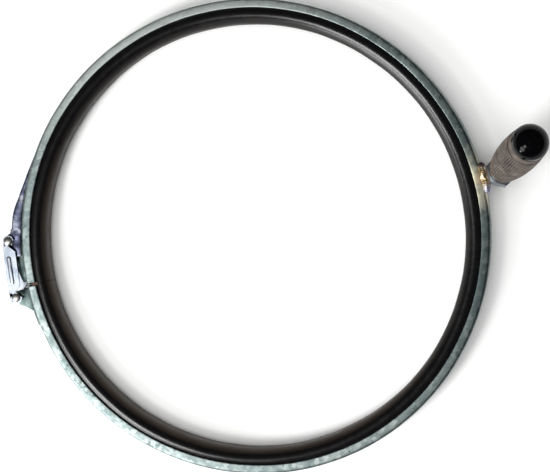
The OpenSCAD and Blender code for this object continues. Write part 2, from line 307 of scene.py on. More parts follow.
class Nodes:
    """A small builder for node materials."""

    def __init__(self, name):
        self.material = bpy.data.materials.new(name)
        self.material.use_nodes = True
        self.tree = self.material.node_tree
        self.shader = self.tree.nodes["Principled BSDF"]
        self.coord = self.add("ShaderNodeTexCoord").outputs["Object"]

    def add(self, kind, **values):
        node = self.tree.nodes.new(kind)
        for key, value in values.items():
            setattr(node, key, value)
        return node

    def link(self, source, target):
        self.tree.links.new(source, target)

    def scaled(self, scale):
        """Object coordinates, stretched by a scale for each axis."""
        node = self.add("ShaderNodeMapping")
        node.inputs["Scale"].default_value = scale
        self.link(self.coord, node.inputs["Vector"])
        return node.outputs["Vector"]

    def noise(self, scale, detail=4.0, rough=0.55, vector=None, distortion=0.0):
        node = self.add("ShaderNodeTexNoise")
        node.inputs["Scale"].default_value = scale
        node.inputs["Detail"].default_value = detail
        node.inputs["Roughness"].default_value = rough
        node.inputs["Distortion"].default_value = distortion
        self.link(vector or self.coord, node.inputs["Vector"])
        return node.outputs["Fac"]

    def cells(self, scale, output="Color", warp=0.0):
        node = self.add("ShaderNodeTexVoronoi")
        node.inputs["Scale"].default_value = scale
        vector = self.coord
        if warp:
            add = self.add("ShaderNodeVectorMath", operation="MULTIPLY_ADD")
            wave = self.add("ShaderNodeTexNoise")
            wave.inputs["Scale"].default_value = scale * 1.7
            self.link(self.coord, wave.inputs["Vector"])
            self.link(wave.outputs["Color"], add.inputs[0])
            add.inputs[1].default_value = (warp, warp, warp)
            self.link(self.coord, add.inputs[2])
            vector = add.outputs["Vector"]
        self.link(vector, node.inputs["Vector"])
        return node.outputs[output]

    def ramp(self, source, stops):
        node = self.add("ShaderNodeValToRGB")
        elements = node.color_ramp.elements
        while len(elements) < len(stops):
            elements.new(0.5)
        for element, (place, colour) in zip(elements, stops):
            element.position = place
            element.color = (*colour, 1)
        self.link(source, node.inputs["Fac"])
        return node.outputs["Color"]

    def span(self, source, low, high, out_low=0.0, out_high=1.0):
        node = self.add("ShaderNodeMapRange", clamp=True)
        limits = {"From Min": low, "From Max": high, "To Min": out_low, "To Max": out_high}
        for key, value in limits.items():
            node.inputs[key].default_value = value
        self.link(source, node.inputs["Value"])
        return node.outputs["Result"]

    def mix(self, factor, a, b, blend="MIX"):
        node = self.add("ShaderNodeMix", data_type="RGBA", blend_type=blend)
        factor_socket, a_socket, b_socket, result_socket = 0, 6, 7, 2
        for value, index in ((factor, factor_socket), (a, a_socket), (b, b_socket)):
            if isinstance(value, (int, float)):
                node.inputs[index].default_value = value
            elif isinstance(value, tuple):
                node.inputs[index].default_value = (*value, 1)
            else:
                self.link(value, node.inputs[index])
        return node.outputs[result_socket]

    def math(self, operation, a, b=0.0):
        node = self.add("ShaderNodeMath", operation=operation)
        for index, value in enumerate((a, b)):
            if isinstance(value, (int, float)):
                node.inputs[index].default_value = value
            else:
                self.link(value, node.inputs[index])
        return node.outputs["Value"]

    def reach(self, axes):
        """Distance from the origin along the chosen axes."""
        flat = self.add("ShaderNodeVectorMath", operation="MULTIPLY")
        self.link(self.coord, flat.inputs[0])
        flat.inputs[1].default_value = axes
        length = self.add("ShaderNodeVectorMath", operation="LENGTH")
        self.link(flat.outputs["Vector"], length.inputs[0])
        return length.outputs["Value"]

    def along(self, direction):
        """Distance from the origin in one direction."""
        node = self.add("ShaderNodeVectorMath", operation="DOT_PRODUCT")
        self.link(self.coord, node.inputs[0])
        node.inputs[1].default_value = direction
        return node.outputs["Value"]

    def near(self, point, inner, outer):
        """1 within inner of a point, falling to 0 at outer, in millimetres."""
        node = self.add("ShaderNodeVectorMath", operation="DISTANCE")
        self.link(self.coord, node.inputs[0])
        node.inputs[1].default_value = tuple(float(x) * MM for x in point)
        return self.span(node.outputs["Value"], inner * MM, outer * MM, 1.0, 0.0)

    def bump(self, height, distance, strength=1.0, after=None):
        node = self.add("ShaderNodeBump")
        node.inputs["Strength"].default_value = strength
        node.inputs["Distance"].default_value = distance * MM
        self.link(height, node.inputs["Height"])
        if after is not None:
            self.link(after, node.inputs["Normal"])
        return node.outputs["Normal"]

    def finish(self, colour, rough, normal=None, **constants):
        self.put("Base Color", colour)
        self.put("Roughness", rough)
        if normal is not None:
            self.link(normal, self.shader.inputs["Normal"])
        for key, value in constants.items():
            self.shader.inputs[key.replace("_", " ")].default_value = value
        return self.material

    def put(self, key, value):
        if isinstance(value, (int, float)):
            self.shader.inputs[key].default_value = value
        elif isinstance(value, tuple):
            self.shader.inputs[key].default_value = (*value, 1)
        else:
            self.link(value, self.shader.inputs[key])


WELD_SHIFT_A = 0.65
WELD_A = bearing(GRIP_FOOT) - WELD_SHIFT_A
WELD_POINT = np.array([*polar(BAND_R, WELD_A), HALF_W])


def galvanised():
    """Hot-dip zinc: crystal spangle, duller patches, dark handling spots, painted shade along the outer
    corners, painted light over the top, painted shade on the right side, and heat tint at the weld."""
    n = Nodes("galvanised_band")
    crystals, warp = 260, 0.003
    stops = [(0.0, (0.17, 0.215, 0.21)), (0.45, (0.31, 0.37, 0.36)),
             (0.8, (0.44, 0.51, 0.49)), (1.0, (0.62, 0.67, 0.65))]
    spangle = n.ramp(n.cells(crystals, warp=warp), stops)
    patches = n.span(n.noise(55, 4, 0.6), 0.42, 0.62)
    colour = n.mix(n.math("MULTIPLY", patches, 0.55), spangle, (0.20, 0.26, 0.26))
    spots = n.span(n.noise(190, 2, 0.6), 0.64, 0.72)
    colour = n.mix(n.math("MULTIPLY", spots, 0.7), colour, (0.05, 0.07, 0.075))
    # painted shade: the channel's rounded outer corners are darkened where shade falls
    corner = n.math("MULTIPLY", n.span(n.reach((1, 1, 0)), (BAND_R - 1.9) * MM, (BAND_R - 0.5) * MM),
                    n.span(n.reach((0, 0, 1)), (HALF_W - 3.6) * MM, (HALF_W - 1.6) * MM))
    colour = n.mix(n.math("MULTIPLY", corner, 0.5), colour, (0.045, 0.06, 0.065))
    # painted light: the top of the ring is made paler and lighter, standing for a highlight
    painted_top_light = n.span(n.along((-0.35, 0.94, 0)), 0.12, 0.19)
    colour = n.mix(n.math("MULTIPLY", painted_top_light, 0.7), colour, (0.84, 0.90, 0.86))
    # painted shade: the right side of the ring is darkened
    painted_right_shade = n.span(n.along((1, 0, 0)), 0.12, 0.195)
    colour = n.mix(n.math("MULTIPLY", painted_right_shade, 0.6), colour, (0.06, 0.09, 0.09))
    straw = n.near(WELD_POINT, 11, 32)
    colour = n.mix(n.math("MULTIPLY", straw, n.span(n.noise(90), 0.25, 0.6)), colour, (0.93, 0.89, 0.68))
    orange = n.near(WELD_POINT, 4, 8)
    colour = n.mix(n.math("MULTIPLY", orange, 0.5), colour, (0.80, 0.52, 0.30))
    rough = n.span(n.noise(300, 5, 0.65), 0.3, 0.7, 0.36, 0.58)
    flow = n.bump(n.noise(120, 4), 0.25, 0.4)
    normal = n.bump(n.cells(crystals, "Distance", warp), 0.10, 0.35, flow)
    return n.finish(colour, rough, normal, Metallic=1.0)


def black_rubber():
    """Black moulded rubber, with a grey-brown bore that is partly dust and wear and partly painted light,
    painted strongest at the lower left.
    """
    n = Nodes("seal_rubber")
    dust = n.span(n.noise(70, 6, 0.7), 0.50, 0.85)
    colour = n.mix(n.math("MULTIPLY", dust, 0.6), (0.0018, 0.0016, 0.0020), (0.008, 0.007, 0.0065))
    # partly painted light: the bore is painted grey-brown, partly dust and wear, partly light falling on the
    # bore
    bore_wear_and_light = n.span(n.reach((1, 1, 0)), (SEAL_R + 1.2) * MM, (SEAL_R + 5.0) * MM, 1.0, 0.0)
    bore_wear_and_light = n.math("MULTIPLY", bore_wear_and_light, n.span(n.noise(45, 5, 0.6), 0.2, 0.7, 0.55, 1.0))
    # painted light: the bore's grey-brown is strongest at the lower left, where the bore is lit
    painted_light_lower_left = n.span(n.along((-0.5, -0.87, 0)), -0.02, 0.10, 0.2, 1.0)
    colour = n.mix(n.math("MULTIPLY", bore_wear_and_light, painted_light_lower_left), colour, (0.036, 0.026, 0.018))
    rough = n.math("ADD", n.span(n.noise(220, 4), 0.3, 0.7, 0.17, 0.23), n.math("MULTIPLY", bore_wear_and_light, 0.5))
    streaks = n.noise(60, 3, 0.5, n.scaled((1, 1, 14)))
    normal = n.bump(n.noise(900, 3), 0.02, 0.2, n.bump(streaks, 0.06, 0.2))
    return n.finish(colour, rough, normal, Specular_IOR_Level=0.5)


def tab_rubber():
    n = Nodes("tab_rubber")
    colour = n.ramp(n.noise(600, 4), [(0.3, (0.030, 0.014, 0.010)), (0.7, (0.11, 0.055, 0.035))])
    return n.finish(colour, 0.6, n.bump(n.noise(1200), 0.08, 0.5))


def zinc(name, dark, tint, bright, rough_low=0.28, rough_high=0.42, cloud=70, share=0.6):
    """Zinc plate on drawn sheet: a clouded mottle from dark to bright, with fine draw lines and scuffs; on the
    lever the wide spread makes the bright clouds painted highlights.
    """
    n = Nodes(name)
    # mottle from dark to bright; on the lever the bright clouds are painted highlights
    mottle_and_highlight = n.noise(cloud, 3, 0.5, distortion=0.6)
    colour = n.ramp(mottle_and_highlight, [(0.34, dark), (0.50, tint), (0.66, bright)])
    marks = n.span(n.noise(500, 4, 0.7), 0.60, 0.72)
    colour = n.mix(n.math("MULTIPLY", marks, share), colour, dark)
    rough = n.span(n.noise(160, 5, 0.6), 0.3, 0.7, rough_low, rough_high)
    drawn = n.noise(700, 3, 0.5, n.scaled((1, 0.08, 1)))
    return n.finish(colour, rough, n.bump(drawn, 0.03, 0.35), Metallic=0.97)


def weld_metal():
    """Heat-coloured weld: olive, orange and straw in its middle, purple oxide at its top end and
    bright blue zinc at its bottom end."""
    n = Nodes("weld_metal")
    stops = [(0.30, (0.045, 0.030, 0.045)), (0.42, (0.25, 0.20, 0.09)),
             (0.52, (0.58, 0.38, 0.22)), (0.62, (0.86, 0.82, 0.68))]
    burnt = n.ramp(n.noise(260, 4, 0.6), stops)
    end_a = 3.6
    top, bottom = [(*polar(BAND_R + 3, WELD_A + side * end_a), HALF_W) for side in (1, -1)]
    colour = n.mix(n.near(top, 2.5, 7), burnt, (0.10, 0.06, 0.085))
    colour = n.mix(n.near(bottom, 4, 9), colour, (0.50, 0.50, 0.66))
    rough = n.span(n.noise(500), 0.3, 0.7, 0.30, 0.5)
    return n.finish(colour, rough, n.bump(n.noise(420, 4), 0.25, 0.5), Metallic=0.9)


def grip_plastic():
    """Dull moulded plastic with handled, slightly dusty high spots."""
    n = Nodes("grip_plastic")
    dust = n.span(n.noise(130, 5, 0.65), 0.35, 0.75)
    colour = n.mix(dust, (0.045, 0.034, 0.028), (0.165, 0.132, 0.108))
    rough = n.span(n.noise(380, 3), 0.3, 0.7, 0.50, 0.66)
    return n.finish(colour, rough, n.bump(n.noise(1500, 2), 0.06, 0.5), Specular_IOR_Level=0.45)


def cap_plastic():
    n = Nodes("cap_plastic")
    colour = n.mix(n.span(n.noise(260, 4), 0.55, 0.8), (0.0012, 0.0012, 0.0016), (0.005, 0.0045, 0.0045))
    rough = n.span(n.noise(200, 4), 0.3, 0.7, 0.07, 0.13)
    return n.finish(colour, rough, n.bump(n.noise(90, 2), 0.05, 0.15), Specular_IOR_Level=0.10)


MATERIALS = {
    "galvanised_band": galvanised(),
    "seal_rubber": black_rubber(),
    "tab_rubber": tab_rubber(),
    "zinc_plate": zinc("zinc_plate", (0.30, 0.34, 0.41), (0.43, 0.47, 0.53), (0.52, 0.55, 0.59),
                       share=0.4),
    # painted highlights: the lever's bright stop stands for highlights on its curved sides
    "lever_zinc": zinc("lever_zinc", (0.06, 0.06, 0.11), (0.22, 0.24, 0.36), (0.58, 0.61, 0.70),
                       0.20, 0.36),
    # painted shade: a dark copy of the zinc plate for the brackets, standing for the shade they sit in
    "shaded_bracket_zinc": zinc("shaded_bracket_zinc", (0.02, 0.032, 0.03), (0.055, 0.08, 0.075),
                         (0.15, 0.19, 0.185)),
    "rivet_steel": zinc("rivet_steel", (0.22, 0.22, 0.22), (0.40, 0.39, 0.37), (0.55, 0.54, 0.52)),
    "weld_metal": weld_metal(),
    "grip_plastic": grip_plastic(),
    "cap_plastic": cap_plastic(),
}


def dress(obj, slot, body=None, nodes=(), look=None):
    """Gives a piece its material, the body it rides on and the CAD nodes it stands for. look names
    another material than the slot's own."""
    obj.data.materials.clear()
    obj.data.materials.append(MATERIALS[look or slot])
    if body:
        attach(obj, body)
    if nodes:
        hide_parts(*nodes)
    return obj


# ---------------------------------------------------------------- channel and seal

FLEX_SPAN = 50


def band_section():
    """The channel's U, walked round its outside and back along its inside."""
    inner_w = HALF_W - SHEET
    outline = [(LIP_R, -HALF_W), (BAND_R, -HALF_W), (BAND_R, HALF_W), (LIP_R, HALF_W),
               (LIP_R, inner_w), (BAND_R - SHEET, inner_w), (BAND_R - SHEET, -inner_w), (LIP_R, -inner_w)]
    return fillet(outline, [0.6, 2.4, 2.4, 0.6, 0.6, 0.9, 0.9, 0.6], 5)


def seal_section():
    """The seal's bulb: a flat bore, a round shoulder up to its crest, and a gentle fall to the lip."""
    bore_half, crest_r, crest_z, fall_r = 4.5, 187.3, SEAL_HALF_W, 13.0
    across, up = crest_r - SEAL_R, crest_z - bore_half
    shoulder = [(crest_r - across * math.cos(t), bore_half + up * math.sin(t))
                for t in np.radians(np.linspace(0, 90, 22))]
    lip_tilt = math.asin((LIP_R - 0.3 - crest_r) / fall_r)
    fall = [(crest_r + fall_r * math.sin(t), crest_z - fall_r * (1 - math.cos(t)))
            for t in np.linspace(0, lip_tilt, 7)[1:]]
    back = [(LIP_R + 0.3, fall[-1][1] + 0.1), (LIP_R + 0.9, SEAL_HALF_W), (SEAL_BACK_R - 1.2, SEAL_HALF_W),
            (SEAL_BACK_R - 0.35, SEAL_HALF_W - 0.35), (SEAL_BACK_R, SEAL_HALF_W - 1.2)]
    half = shoulder + fall + back
    return [(r, -z) for r, z in half] + [(r, z) for r, z in reversed(half)]


def rolled(r, z, a):
    """The slight waviness of a rolled and welded channel."""
    t = math.radians(a)
    return 0.10 * math.sin(5 * t + 0.4) + 0.05 * math.sin(17 * t), 0.10 * math.sin(4 * t + 1.1) * (z / HALF_W)


def moulded(r, z, a):
    t = math.radians(a)
    inward = (BAND_R - r) / (BAND_R - SEAL_R)
    return 0.12 * inward * (math.sin(9 * t + 2) + 0.5 * math.sin(31 * t)), 0.06 * math.sin(13 * t) * inward


def ring_pieces(kind, section, wobble, slot, start, end):
    """The upper arc, the lower arc, and between them the stretch where the ring bends as it springs open, made
    here as one fixed piece on no body.
    """
    upper = sweep(f"{kind}_upper_arc", section, FLEX_A + FLEX_SPAN, start, wobble=wobble)
    lower = sweep(f"{kind}_lower_arc", section, end, 360 + FLEX_A - FLEX_SPAN, wobble=wobble)
    flex = sweep(f"{kind}_flex_arc", section, FLEX_A - FLEX_SPAN, FLEX_A + FLEX_SPAN, wobble=wobble)
    dress(upper, slot, "upper_half", [f"{kind}_upper"])
    dress(lower, slot, "lower_half", [f"{kind}_lower"])
    dress(flex, slot)
    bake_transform(flex)
    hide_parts(f"{kind}_upper", f"{kind}_lower")


ring_pieces("band", band_section(), rolled, "galvanised_band",
            SPLIT_A - SPLIT_GAP_A / 2, SPLIT_A + SPLIT_GAP_A / 2)
ring_pieces("seal", seal_section(), moulded, "seal_rubber", SPLIT_A - 0.05, SPLIT_A + 0.05)


def torn(r, z, a):
    """The uneven surface of a hand-cut rubber flap."""
    return 0.15 * math.sin(400 * a + r), 0.12 * math.sin(260 * a + 2 * r)


def joint_tab():
    bottom = SEAL_HALF_W + 0.35
    top = float(node_box("seal_joint_tab")[1][2])
    foot, head = 2.5, 2.3
    section = fillet([(LIP_R - foot, bottom), (LIP_R + foot, bottom),
                      (LIP_R + head, top), (LIP_R - head, top - 0.2)], [0.3] * 4, 4)
    first, last = SPLIT_A - SPLIT_GAP_A / 2 + 0.12, SPLIT_A + 0.35
    tab = sweep("seal_joint_flap", section, first, last, 0.05, torn)
    dress(tab, "tab_rubber", "upper_half", ["seal_joint_tab"])


joint_tab()

# ---------------------------------------------------------------- latch

LOBE_R = 5.2
SHANK_R = 2.4
TIP_A = 159.2
BACK_L = 55.8
FLARE = 1.4
LEVER_T = 1.4


def circle_hole(centre, radius):
    return arc(centre, radius, 0, 360 - 360 / 32, 31)


def back_line():
    """Points down the lever's back, from its tip by its knee to its heel."""
    tip = polar(BAND_R + 0.5 + LEVER_T, TIP_A)
    along = np.array([-math.sin(math.radians(TIP_A - FLARE)), math.cos(math.radians(TIP_A - FLARE))])
    knee = tip + along * BACK_L
    heel = np.array([knee[0] - 0.9, 6.0])
    bend = 9.0
    line = [tip + along * BACK_L * t for t in np.linspace(0, 1 - bend / BACK_L, 24)]
    down = (heel - knee) / np.linalg.norm(heel - knee)
    before, after = knee - along * bend, knee + down * bend
    for t in np.linspace(0, 1, 9)[1:]:
        line.append((1 - t) ** 2 * before + 2 * t * (1 - t) * knee + t * t * after)
    line.append(heel)
    return line


RELIEF_C = np.array([-1.0, -4.75])
RELIEF_R = BAND_R + 1.4


def relief_depth(point, inward):
    """How far a point can go inward before it meets the lever's edge beside the ring."""
    offset = point - RELIEF_C
    b = float(offset @ inward)
    c = float(offset @ offset) - RELIEF_R ** 2
    root = b * b - c
    return -b - math.sqrt(root) if root > 0 else 4.0


def lever_channel():
    """The lever's folded channel: a rounded U at each place along its back, shallow at the tip."""
    line = back_line()
    verts, faces = [], []
    bend_r, t = 2.2, LEVER_T
    rows = []
    for i, p in enumerate(line):
        ahead = line[min(i + 1, len(line) - 1)] - line[max(i - 1, 0)]
        ahead = ahead / np.linalg.norm(ahead)
        inward = np.array([-ahead[1], ahead[0]])
        depth = max(1.45, relief_depth(p, inward))
        narrowing = min(1.0, 0.72 + 0.28 * (i / 9))
        half = LEVER_HALF * narrowing
        r_out = min(bend_r, depth * 0.9)
        outer = [(0.0, 0.0)] + [(r_out * (1 - math.cos(a)), half - r_out + r_out * math.sin(a))
                                for a in np.radians(np.linspace(0, 90, 8))] + [(depth, half)]
        r_in = max(0.3, r_out - t)
        inner = [(max(depth, t + 0.05), half - t)]
        inner += [(t + r_in * (1 - math.cos(a)), half - t - r_in + r_in * math.sin(a))
                  for a in np.radians(np.linspace(90, 0, 8))] + [(t, 0.0)]
        inner = [(min(x, max(depth, t + 0.05)), z) for x, z in inner]
        half_loop = outer + inner
        loop = half_loop + [(x, -z) for x, z in reversed(half_loop[1:-1])]
        rows.append([(*(p + inward * x), z) for x, z in loop])
    n = len(rows[0])
    for row in rows:
        verts += row
    for i in range(len(rows) - 1):
        for k in range(n):
            m = (k + 1) % n
            faces.append((i * n + k, (i + 1) * n + k, (i + 1) * n + m, i * n + m))
    faces += cap_faces(0, n) + cap_faces((len(rows) - 1) * n, n)
    return make("lever_channel", verts, faces, 40)


def cap_faces(first, n):
    """Quads that close a U-shaped section between its outer and inner walls."""
    half = n // 2 + 1
    outer = list(range(half // 2))
    total = []
    for k in range(len(outer) - 1):
        a, b = k, k + 1
        total.append((first + a, first + b, first + half - 1 - b, first + half - 1 - a))
        mirror = [(n - v) % n for v in (a, b, half - 1 - b, half - 1 - a)]
        total.append(tuple(first + v for v in mirror))
    return total


def lever_cheek(z0, z1):
    """One of the lever's two ears, from the end of its back round both rivets."""
    heel = back_line()[-1]
    start = heel + np.array([0, 0.2])
    outline = [start, heel - [0.3, 3.0]]
    outline += arc(UPPER, LOBE_R, 150, 185, 6)
    outline += arc(PIVOT, LOBE_R, 180, 360, 18)
    outline += [RELIEF_C + polar(RELIEF_R, a) for a in np.linspace(183.5, 178.5, 6)]
    rise = start[1] - RELIEF_C[1]
    outline.append(RELIEF_C + np.array([-math.sqrt(RELIEF_R ** 2 - rise ** 2), rise]))
    holes = [circle_hole(PIVOT, SHANK_R + 0.06), circle_hole(UPPER, SHANK_R + 0.06)]
    return prism("lever_cheek", outline, z0, z1, holes)


def lever():
    channel = lever_channel()
    low = lever_cheek(-LEVER_HALF, LEVER_T - LEVER_HALF)
    high = lever_cheek(LEVER_HALF - LEVER_T, LEVER_HALF)
    whole = join_solids(channel, low, high)
    bevel(whole, 0.22, 2, 50)
    whole.name = "latch_lever"
    dress(whole, "lever_zinc", "lever", ["lever"])


lever()


def domed_head(z0, top, radius):
    """Half-profile of a rivet's head with a flat seat, a short rim and a dome."""
    rise, rim = top - z0, 0.22
    dome = [(radius * math.cos(a), z0 + rise * (rim + (1 - rim) * math.sin(a)))
            for a in np.radians(np.linspace(0, 90, 12))]
    return [(radius * 0.97, z0), (radius, z0 + 0.1)] + dome[:-1] + [(0, top)]


def rivet(name, point, seat, top, radius, slot, body, node):
    """A solid rivet with a shop head and a formed head, which is a little flatter."""
    upper = domed_head(seat, top, radius)
    lower = [(r, -z) for r, z in domed_head(seat, top - 0.1, radius * 1.02)]
    profile = list(reversed(lower)) + [(SHANK_R, -seat), (SHANK_R, seat)] + upper
    at = Matrix.Translation(Vector((*point, 0)) * MM)
    piece = lathe(name, profile, 64, at, sharp=40)
    dress(piece, slot, body, [node])


HEAD_R = 3.8
PIVOT_HEAD_R = 3.9

rivet("upper_rivet", UPPER, PLATE_TOP, RIVET_TOP, HEAD_R, "rivet_steel", "link", "link_upper_rivet")
rivet("lower_rivet", LOWER, PLATE_TOP, RIVET_TOP, HEAD_R, "rivet_steel", "link", "link_lower_rivet")
rivet("pivot_rivet", PIVOT, LEVER_HALF + 0.08, LEVER_HALF + 0.9, PIVOT_HEAD_R, "rivet_steel",
      "upper_half", "lever_pivot_rivet")

LINK_V = LOWER - UPPER
LINK_L = float(np.linalg.norm(LINK_V))
LINK_U = LINK_V / LINK_L
LINK_OUT = np.array([LINK_U[1], -LINK_U[0]])


def in_link(along, out):
    return UPPER + LINK_U * along + LINK_OUT * out


def link_outline():
    """A plate with round ends and one bowed edge. Known fault: its two long edges are listed in the
    wrong order, so the outline crosses itself near both rivets."""
    turn = bearing(LINK_U)
    top_r, bottom_r, bow, middle = 4.8, 5.3, 1.4, 0.55
    top = arc(UPPER, top_r, turn + 90, turn + 270, 20)
    bottom = arc(LOWER, bottom_r, turn - 90, turn + 90, 20)
    bowed = [in_link(LINK_L * t, top_r + bow * (1 - ((t - middle) / middle) ** 2))
             for t in np.linspace(0.90, 0.10, 12)]
    straight = [in_link(LINK_L * t, -4.85) for t in (0.2, 0.5, 0.8)]
    return top + straight + bottom + bowed


def link_plate(name, node, side):
    """A pressed link plate: rounded edges, two rivet holes and a raised bead down its middle."""
    z0, z1 = PLATE_TOP - PLATE_T, PLATE_TOP
    bead_out, bead_r, bead_h = 1.5, 1.75, 0.5

    def bead_loop(radius):
        turn = bearing(LINK_U)
        first, last = in_link(15, bead_out), in_link(35.5, bead_out)
        return arc(first, radius, turn + 90, turn + 270, 12) + arc(last, radius, turn - 90, turn + 90, 12)

    loops = [(bead_loop(bead_r + 0.35), z1), (bead_loop(bead_r), z1 + 0.08),
             (bead_loop(bead_r * 0.8), z1 + 0.36), (bead_loop(bead_r * 0.55), z1 + bead_h),
             (bead_loop(bead_r * 0.12), z1 + bead_h)]
    holes = [circle_hole(point, SHANK_R + 0.05) for point in (UPPER, LOWER)]
    plate = prism("plate", link_outline(), z0, z1, holes)
    bevel(plate, 0.3, 3, 60)
    verts, faces = [], []
    n = len(loops[0][0])
    for loop, z in [(loops[0][0], z0 + 0.4)] + loops:
        verts += [(p[0], p[1], z) for p in loop]
    for i in range(len(loops)):
        for k in range(n):
            m = (k + 1) % n
            faces.append((i * n + k, i * n + m, (i + 1) * n + m, (i + 1) * n + k))
    faces += [tuple(range(n)), tuple(range(len(loops) * n, (len(loops) + 1) * n))]
    bead = make("bead", verts, faces, 60)
    join_solids(plate, bead)
    bake_modifiers(plate, 28)
    if side < 0:
        for v in plate.data.vertices:
            v.co.z = -v.co.z
        plate.data.flip_normals()
    plate.name = name
    dress(plate, "zinc_plate", "link", [node])


link_plate("front_link", "link_plate_front", 1)
link_plate("rear_link", "link_plate_rear", -1)


def spacers():
    inner, outer, z1 = SHANK_R + 0.05, 4.2, float(node_box("link_spacers")[1][2])
    z0 = LEVER_HALF + 0.1
    profile = fillet([(inner, z0), (outer, z0), (outer, z1), (inner, z1)], [0.1, 0.25, 0.25, 0.1], 3)
    profile = [tuple(p) for p in profile]
    at = Matrix.Translation(Vector((*UPPER, 0)) * MM)
    front = lathe("spacer_front", profile, 48, at, closed=True)
    rear = lathe("spacer_rear", [(r, -z) for r, z in profile], 48, at, closed=True)
    dress(front, "rivet_steel", "link", ["link_spacers"])
    dress(rear, "rivet_steel", "link", ["link_spacers"])


spacers()


FOLD_T = 1.6


def folded_bracket(ear, half, a0, a1, holes=()):
    """A curved base on the band with an ear folded up from each side."""
    near, far = BAND_R + 0.05, BAND_R + 1.55
    piece = sweep("base", [(near, -half), (far, -half), (far, half), (near, half)], a0, a1, 0.7)
    ears = [prism("ear", ear, z0, z0 + FOLD_T, holes) for z0 in (-half, half - FOLD_T)]
    return join_solids(piece, *ears)


def finish_bracket(piece, name, body, node):
    bevel(piece, 0.3, 2, 50)
    piece.name = name
    # painted shade: the brackets wear the dark, shaded copy of the zinc plate
    dress(piece, "zinc_plate", body, [node], "shaded_bracket_zinc")


def lever_bracket():
    half = float(node_box("lever_bracket")[1][2])
    foot = [polar(BAND_R + 0.05, a) for a in np.linspace(191.2, 181.7, 10)]
    ear = foot + [polar(BAND_R + 3.5, 181.4)] + arc(PIVOT, LOBE_R - 0.2, 80, 200, 14)
    ear += [polar(BAND_R + 9, 187.2), polar(BAND_R + 4.5, 191.2)]
    piece = folded_bracket(ear, half, 177.5, 191.3, [circle_hole(PIVOT, SHANK_R + 0.02)])
    finish_bracket(piece, "hinge_bracket", "upper_half", "lever_bracket")


lever_bracket()


def rivet_path():
    """Where the lower rivet goes, as seen from the catch, while the lever swings open."""
    ratios = {c["joint"]: c["ratio"] for c in frame["record"]["behaviour"]["couplings"]}
    full = joint("lever_swing")["range_deg"][1]
    path = []
    for swing in np.linspace(0, full, 19):
        tip = PIVOT + spun(UPPER - PIVOT, swing)
        rivet_at = tip + spun(LINK_V, swing * (1 + ratios["link_swing"]))
        path.append(FLEX_POINT + spun(rivet_at - FLEX_POINT, -swing * ratios["ring_flex"]))
    return path


def spun(v, degrees):
    c, s = math.cos(math.radians(degrees)), math.sin(math.radians(degrees))
    return np.array([v[0] * c - v[1] * s, v[0] * s + v[1] * c])


def catch_bracket():
    half = float(node_box("catch_bracket")[1][2])
    foot = [polar(BAND_R + 0.05, a) for a in np.linspace(198.5, 192.95, 7)]
    ear = foot + [polar(BAND_R + 8, 192.8), polar(BAND_R + 13.4, 193.0)] + arc(LOWER, LOBE_R, 170, 262, 12)
    ear += [polar(BAND_R + 6, 197.2), polar(BAND_R + 2, 198.4)]
    piece = folded_bracket(ear, half, 192.9, 202.4)
    path = rivet_path()
    notch_r = SHANK_R + 0.3
    for p, q in zip(path, path[1:]):
        turn = bearing(q - p)
        shape = arc(q, notch_r, turn - 90, turn + 90, 10) + arc(p, notch_r, turn + 90, turn + 270, 10)
        cut(piece, prism("notch", shape, -20, 20))
    finish_bracket(piece, "hook_bracket", "lower_half", "catch_bracket")


catch_bracket()

# ---------------------------------------------------------------- grip and its foot

ON_GRIP = grip_matrix()
NUT_HALF = 11.5


def hexagon(phi, across):
    turn = (phi % 60) - 30
    return across / math.cos(math.radians(turn))


def hex_nut(name, across, bore, s0, s1, body, node, slot):
    """A chamfered hexagon nut with countersunk thread ends."""
    corner = across / math.cos(math.radians(30))
    face_r = across * 0.95
    fall = math.tan(math.radians(30))

    def shape(r, s, phi):
        if r < across * 0.9:
            return r, s
        flat = hexagon(phi, across)
        if r < across:
            return min(face_r, flat), s
        drop = max(0.0, flat - face_r) * fall
        return flat, s - drop if s > (s0 + s1) / 2 else s + drop

    profile = [(bore, s0 + 0.8), (bore + 0.7, s0), (across * 0.93, s0), (corner, s0), (corner, s1),
               (across * 0.93, s1), (bore + 0.7, s1), (bore, s1 - 0.8)]
    nut = lathe(name, profile, 120, ON_GRIP, shape, closed=True, sharp=25)
    dress(nut, slot, body, [node])


hex_nut("foot_nut", NUT_HALF, 5.05, -NUT_H, 0, "upper_half", "weld_nut", "zinc_plate")


def washer(name, inner, outer, s0, s1, edge, slot, body, node):
    profile = fillet([(inner, s0), (outer, s0), (outer, s1), (inner, s1)], [0.1, edge, edge, 0.1], 4)
    piece = lathe(name, [tuple(p) for p in profile], 96, ON_GRIP, closed=True)
    dress(piece, slot, body, [node])


washer("thrust_disc", 6.1, 11.0, 2.05, 3.6, 0.4, "zinc_plate", "upper_half", "thrust_washer")
washer("lock_washer", 5.2, 8.4, 0.05, 1.95, 0.2, "rivet_steel", "upper_half", "spring_washer")


def grip_radius(s):
    """The barrel's outline: one arc from foot to belly and on to the collar."""
    belly_s = FOOT_S + BELLY_SHARE * GRIP_L
    run, sag = belly_s - FOOT_S, BELLY_R - FOOT_R
    arc_r = (run * run + sag * sag) / (2 * sag)
    return BELLY_R - arc_r + math.sqrt(arc_r ** 2 - (s - belly_s) ** 2)


RIBS = 46
RIB_H = 0.8
GROOVE_S = FOOT_S + GROOVE_SHARE * GRIP_L
COLLAR_S = TOP_S - COLLAR_H


def smooth(x):
    x = max(0.0, min(1.0, x))
    return x * x * (3 - 2 * x)


def rib_depth(s):
    """Ribs fade in above the foot, stop at the groove's two lips, and end before the collar."""
    upper = smooth((s - GROOVE_S - 1.2) / 1.5) * smooth((COLLAR_S - 1.0 - s) / 1.5)
    lower = smooth((s - FOOT_S - 2.0) / 4) * smooth((GROOVE_S - 1.2 - s) / 1.5)
    return RIB_H * max(upper, 0.65 * lower)


